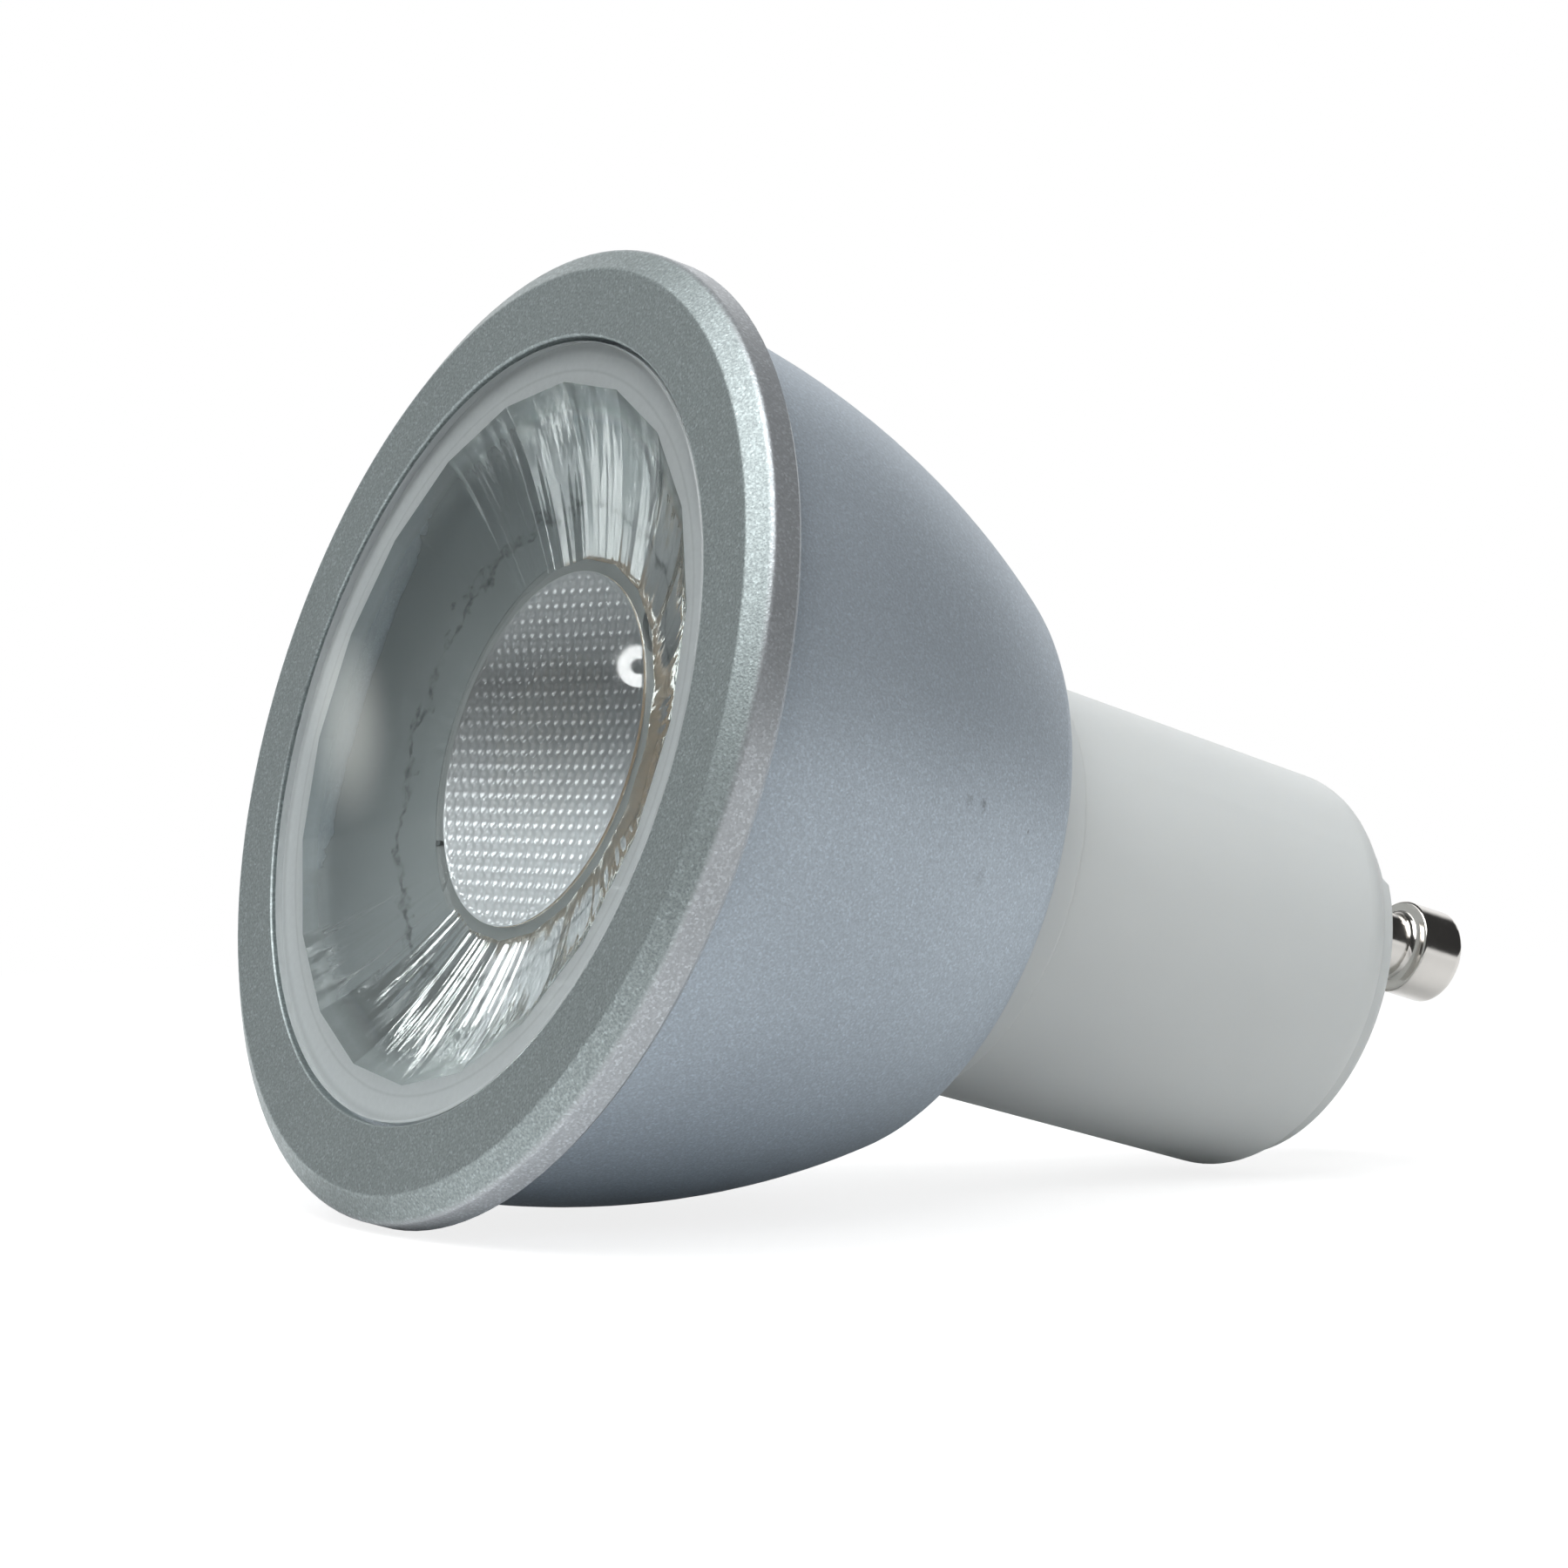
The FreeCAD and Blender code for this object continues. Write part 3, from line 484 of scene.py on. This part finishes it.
def honeycomb_height(x, y):
    """Height of the honeycomb at a point: a round pillow in each cell of a hexagonal grid."""
    cos, sin = math.cos(CELL_TURN), math.sin(CELL_TURN)
    x, y = x * cos + y * sin, y * cos - x * sin
    row = CELL * math.sqrt(3) / 2
    nearest = np.full_like(x, CELL * 10)
    base = np.floor(y / row)
    for step in (-1, 0, 1, 2):
        j = base + step
        shift = np.where(j % 2 == 0, 0.0, CELL / 2)
        i = np.round((x - shift) / CELL)
        nearest = np.minimum(nearest, np.hypot(x - shift - i * CELL, y - j * row))
    corner = CELL / math.sqrt(3)
    return PILLOW * (1 - (nearest / corner) ** 2)


class LensMesh:
    """The points and faces of the lens, added ring by ring. A ring goes by its first point."""

    def __init__(self):
        self.verts = []
        self.faces = []

    def ring(self, radius, z, count):
        start = len(self.verts)
        for i in range(count):
            a = FACET_TURN + 2 * math.pi * i / count
            self.verts.append((radius * math.cos(a), radius * math.sin(a), z))
        return start

    def cornered(self, radius, z):
        """A ring of facet corners, each cut back a little, so that it has two points a corner."""
        start = len(self.verts)
        half = math.pi / FACETS
        back = CORNER_CUT / radius
        r = radius * math.cos(half) / math.cos(half - back)
        for i in range(FACETS):
            corner = FACET_TURN + 2 * half * i
            for a in (corner - back, corner + back):
                self.verts.append((r * math.cos(a), r * math.sin(a), z))
        return start

    def strip(self, low, high, count):
        """Faces between two rings of as many points."""
        for i in range(count):
            j = (i + 1) % count
            self.faces.append((low + i, low + j, high + j, high + i))

    def flat_ring(self, smooth, count, corners, inside):
        """Flat faces between a ring of facet corners and a ring of many points, inside or round it."""
        per = count // FACETS
        for i in range(FACETS):
            arc = [smooth + (i * per + k) % count for k in range(per + 1)]
            first, second = corners + 2 * i, corners + 2 * i + 1
            third = corners + 2 * (i + 1) % CORNERS
            for face in ((*arc, third, second), (arc[0], second, first)):
                self.faces.append(tuple(reversed(face)) if inside else face)

    def plate(self):
        """The flat front face, its rounded edge and the plate's side."""
        rings = [self.ring(PLATE_R - PLATE_ROUND, PLATE_Z, PLATE_POINTS)]
        self.faces.append(tuple(reversed(range(PLATE_POINTS))))
        for k in range(1, ROUND_ROWS + 1):
            a = math.pi / 2 * k / ROUND_ROWS
            radius = PLATE_R - PLATE_ROUND + PLATE_ROUND * math.sin(a)
            z = PLATE_Z + PLATE_ROUND * (1 - math.cos(a))
            rings.append(self.ring(radius, z, PLATE_POINTS))
        rings.append(self.ring(PLATE_R, LEDGE_Z, PLATE_POINTS))
        for low, high in zip(rings, rings[1:]):
            self.strip(low, high, PLATE_POINTS)
        return rings[-1]

    def wall(self, low):
        """The faceted wall, which narrows to the tail in a gentle curve."""
        for k in range(1, WALL_ROWS + 1):
            t = k / WALL_ROWS
            radius = WALL_FRONT_R + (TAIL_R - WALL_FRONT_R) * t + 4 * WALL_BULGE * t * (1 - t)
            high = self.cornered(radius, LEDGE_Z + (TAIL_Z - LEDGE_Z) * t)
            self.strip(low, high, CORNERS)
            low = high
        return low

    def ceiling(self, outer):
        """The ceiling of the recess with its honeycomb, which fades at the outer ring."""
        first = len(self.verts)
        for k in range(1, CEILING_ROWS):
            inner = self.ring(RECESS_R * (1 - k / CEILING_ROWS), CEILING_Z, RECESS_POINTS)
            self.strip(outer, inner, RECESS_POINTS)
            outer = inner
        self.faces.append(tuple(range(outer, outer + RECESS_POINTS)))
        points = np.array(self.verts[first:])
        x, y = points[:, 0], points[:, 1]
        radius = np.hypot(x, y)
        pillows = honeycomb_height(x, y) * np.clip((RECESS_R - radius) / PILLOW_FADE, 0, 1)
        points[:, 2] = CEILING_Z - CROWN * (1 - (radius / RECESS_R) ** 2) + pillows
        self.verts[first:] = [tuple(point) for point in points]


def sharpen(lens, faces, wall, flat):
    """Make the edges sharp that run along the facets' corners or bound a flat face."""
    sharp = set()
    for index in wall:
        low, _, _, high = faces[index]
        sharp.add((low, high))
    for index in flat:
        face = faces[index]
        sharp.update(tuple(sorted(pair)) for pair in zip(face, face[1:] + face[:1]))
    for edge in lens.data.edges:
        if tuple(sorted(edge.vertices)) in sharp:
            edge.use_edge_sharp = True


def make_lens():
    lens_mesh = LensMesh()
    faces = lens_mesh.faces
    rim = lens_mesh.plate()
    side_from, ledge_from = len(faces) - PLATE_POINTS, len(faces)
    wall_front = lens_mesh.cornered(WALL_FRONT_R, LEDGE_Z)
    lens_mesh.flat_ring(rim, PLATE_POINTS, wall_front, inside=False)
    wall_from = len(faces)
    wall_end = lens_mesh.wall(wall_front)
    brim_from = len(faces)
    brim = lens_mesh.ring(RECESS_R, TAIL_Z, RECESS_POINTS)
    lens_mesh.flat_ring(brim, RECESS_POINTS, wall_end, inside=True)
    recess_from = len(faces)
    ceiling_rim = lens_mesh.ring(RECESS_R, CEILING_Z, RECESS_POINTS)
    lens_mesh.strip(brim, ceiling_rim, RECESS_POINTS)
    ceiling_from = len(faces)
    lens_mesh.ceiling(ceiling_rim)

    lens = link_mesh("lens_body", lens_mesh.verts, faces, acrylic)
    flat = {0, *range(ledge_from, wall_from), *range(brim_from, recess_from)}
    for polygon in lens.data.polygons:
        polygon.use_smooth = polygon.index not in flat
    sharpen(lens, faces, range(wall_from, brim_from), flat)
    areas = (
        (flange, range(side_from, wall_from)),
        (honeycomb, range(ceiling_from, len(faces))),
        (lens_wall, range(wall_from, brim_from)),
        (tail_edge, range(recess_from, ceiling_from)),
    )
    for slot, (material, area) in enumerate(areas, start=1):
        lens.data.materials.append(material)
        for index in area:
            lens.data.polygons[index].material_index = slot
    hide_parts("lens_optic")


make_lens()


# The thin insulating washer on the retainer round the lens tail, in millimetres
WASHER_BORE_R, WASHER_R = 10.15, 19.5
WASHER_Z, WASHER_THICKNESS = 10.28, 0.07
WASHER_POINTS = 180


def make_washer():
    top = WASHER_Z + WASHER_THICKNESS
    outline = ((WASHER_BORE_R, WASHER_Z), (WASHER_BORE_R, top), (WASHER_R, top), (WASHER_R, WASHER_Z))
    verts = []
    for radius, z in outline:
        for i in range(WASHER_POINTS):
            a = 2 * math.pi * i / WASHER_POINTS
            verts.append((radius * math.cos(a), radius * math.sin(a), z))
    faces = []
    for k in range(len(outline)):
        low, high = k * WASHER_POINTS, (k + 1) % len(outline) * WASHER_POINTS
        for i in range(WASHER_POINTS):
            j = (i + 1) % WASHER_POINTS
            faces.append((low + i, high + i, high + j, low + j))
    link_mesh("retainer_washer", verts, faces, washer_card)


make_washer()


# Floor, in millimetres. The bulb rests on its rim and on the edge of its base's end, on the side
# at the touch angle.
TOUCH = math.radians(128.5)
RIM_POINT = Vector((25.0 * math.cos(TOUCH), 25.0 * math.sin(TOUCH), 1.6))
END_POINT = Vector((11.0 * math.cos(TOUCH), 11.0 * math.sin(TOUCH), 49.7))
TABLE_GAP, TABLE_HALF = 0.3, 1500.0
WHITE_FROM, WHITE_TO = 70.0, 220.0

# Ovals of painted shadow and of a painted glow on the table, each half of the length along the bulb and
# half of the width. They lie about a point beneath the bulb, at a share of the way from its rim to its
# end.
SHADOW_BENEATH_HALF, SHADOW_BESIDE_HALF, PAINTED_GLOW_HALF = (28.0, 17.0), (75.0, 54.0), (34.0, 5.0)
UNDER_SHARE = 0.32
BENEATH_ACROSS = 7.0
BESIDE_ALONG, BESIDE_ACROSS = 12.0, -62.0


def make_floor():
    """The table that the bulb lies on in the photograph, seen from its upper side only."""
    along = (END_POINT - RIM_POINT).normalized()
    across = Vector((-math.sin(TOUCH), math.cos(TOUCH), 0.0))
    origin = RIM_POINT - along.cross(across) * TABLE_GAP
    sides = ((-1, -1), (1, -1), (1, 1), (-1, 1))
    corners = [(origin + (along * u + across * v) * TABLE_HALF) * MM for u, v in sides]
    mesh = bpy.data.meshes.new("table")
    mesh.from_pydata(corners, [], [(0, 1, 2, 3)])
    mesh.update()
    table = bpy.data.objects.new("table", mesh)
    bpy.context.scene.collection.objects.link(table)
    n = material_nodes("table_white")
    rays = n.add("ShaderNodeLightPath")

    def oval(centre, half):
        return n.oval(centre * MM, (along, half[0] * MM), (across, half[1] * MM))

    # what the bulb mirrors and what lights it: painted shadow beneath the bulb and beside it, and a
    # faint painted glow beneath it that only mirrors show
    under = RIM_POINT.lerp(END_POINT, UNDER_SHARE)
    # painted shadow: the table's colour is darkened in ovals beneath and beside the bulb
    beneath = oval(under + across * BENEATH_ACROSS, SHADOW_BENEATH_HALF)
    beneath = n.span(beneath, 0.3, 1.1, 0.16, 0.88)
    beside = oval(under + across * BESIDE_ACROSS + along * BESIDE_ALONG, SHADOW_BESIDE_HALF)
    beside = n.span(beside, 0.4, 1.1, 0.55, 1.0)
    pale = n.shader("ShaderNodeBsdfDiffuse", Color=n.maths("MULTIPLY", beneath, beside))
    # painted glow: a faint light of the table itself beneath the bulb, seen only in glossy reflections
    painted_glow_strength = n.span(oval(under, PAINTED_GLOW_HALF), 0.2, 1.0, 0.08, 0.0)
    painted_glow_strength = n.maths("MULTIPLY", painted_glow_strength, rays.outputs["Is Glossy Ray"])
    painted_glow = n.shader("ShaderNodeEmission", Strength=painted_glow_strength)

    # what the camera sees: the shadow near the bulb, and plain white further out
    faint = n.shader("ShaderNodeBsdfDiffuse", Color=grey(0.32))
    shadowed = n.added(faint, n.shader("ShaderNodeEmission", Strength=0.82))
    away = n.vectors("DISTANCE", n.place, RIM_POINT.lerp(END_POINT, 0.5) * MM)
    seen = n.mix(n.span(away, WHITE_FROM * MM, WHITE_TO * MM), shadowed, n.shader("ShaderNodeEmission"))
    upper = n.mix(rays.outputs["Is Camera Ray"], n.added(pale, painted_glow), seen)
    face = n.add("ShaderNodeNewGeometry")
    clear = n.shader("ShaderNodeBsdfTransparent")
    mesh.materials.append(n.finish(n.mix(face.outputs["Backfacing"], upper, clear)))


# World. The lens face mirrors a pale glow and a small ring lamp of which a part is hidden. Their
# places are directions, and their sizes are shares of the distance.
PALE_GLOW = Vector((-0.62765, -0.64809, -0.43133))
RING_LAMP = Vector((-0.58969, -0.65103, -0.47794))
GLOW_HALF_WIDTH, GLOW_HALF_HEIGHT = 0.0095, 0.024
LAMP_OUTER, LAMP_INNER, LAMP_HIDDEN_FROM = 0.0043, 0.0016, 0.0007

# Between these cosines the room grows brighter towards the left, and turns into the white behind
ROOM_LEFT = (-0.15, 0.7)
WHITE_BEHIND = (0.62, 0.86)


def mirrored(direction):
    """A direction as the flat face of the lens mirrors it."""
    return Vector((direction.x, direction.y, -direction.z))


def make_world():
    """White behind the bulb. The side that the camera stands on is a dimmer room."""
    studio = bpy.data.worlds.new("studio")
    bpy.context.scene.world = studio
    n = Nodes(studio, "ShaderNodeOutputWorld", "Generated")
    rays = n.add("ShaderNodeLightPath")

    def background(value, tint=(1.0, 1.0, 1.0)):
        return n.shader("ShaderNodeBackground", Color=grey(value, tint))

    def towards(direction, low, high):
        return n.span(n.vectors("DOT_PRODUCT", n.place, direction), low, high, kind="SMOOTHSTEP")

    white = background(1.0)
    room = n.mix(towards(-RIGHT, *ROOM_LEFT), background(0.04), background(0.20, (0.96, 1.0, 1.0)))
    shown = n.mix(towards(-TOWARDS, *WHITE_BEHIND), room, white)

    across, upwards = mirrored(RIGHT), mirrored(UP)
    reach = n.oval(PALE_GLOW, (across, GLOW_HALF_WIDTH), (upwards, GLOW_HALF_HEIGHT))
    glow = n.span(reach, 1.0, 0.0, kind="SMOOTHSTEP")
    in_front = n.maths("GREATER_THAN", n.vectors("DOT_PRODUCT", n.place, PALE_GLOW), 0.5)
    shown = n.mix(n.maths("MULTIPLY", glow, in_front), shown, background(2.4, (1.0, 1.0, 0.95)))

    away = n.vectors("DISTANCE", n.place, RING_LAMP)
    disc = n.maths("LESS_THAN", away, LAMP_OUTER)
    ring = n.maths("MULTIPLY", disc, n.maths("GREATER_THAN", away, LAMP_INNER))
    offset = n.vectors("DOT_PRODUCT", n.vectors("SUBTRACT", n.place, RING_LAMP), across)
    lamp = n.maths("MULTIPLY", ring, n.maths("LESS_THAN", offset, LAMP_HIDDEN_FROM))
    shown = n.mix(lamp, shown, background(9.0))

    fill = background(0.34, (0.96, 0.99, 1.0))
    lit = n.mix(rays.outputs["Is Diffuse Ray"], shown, fill)
    n.finish(n.mix(rays.outputs["Is Camera Ray"], lit, white))


make_floor()
make_world()

bpy.context.scene.view_settings.view_transform = "Standard"
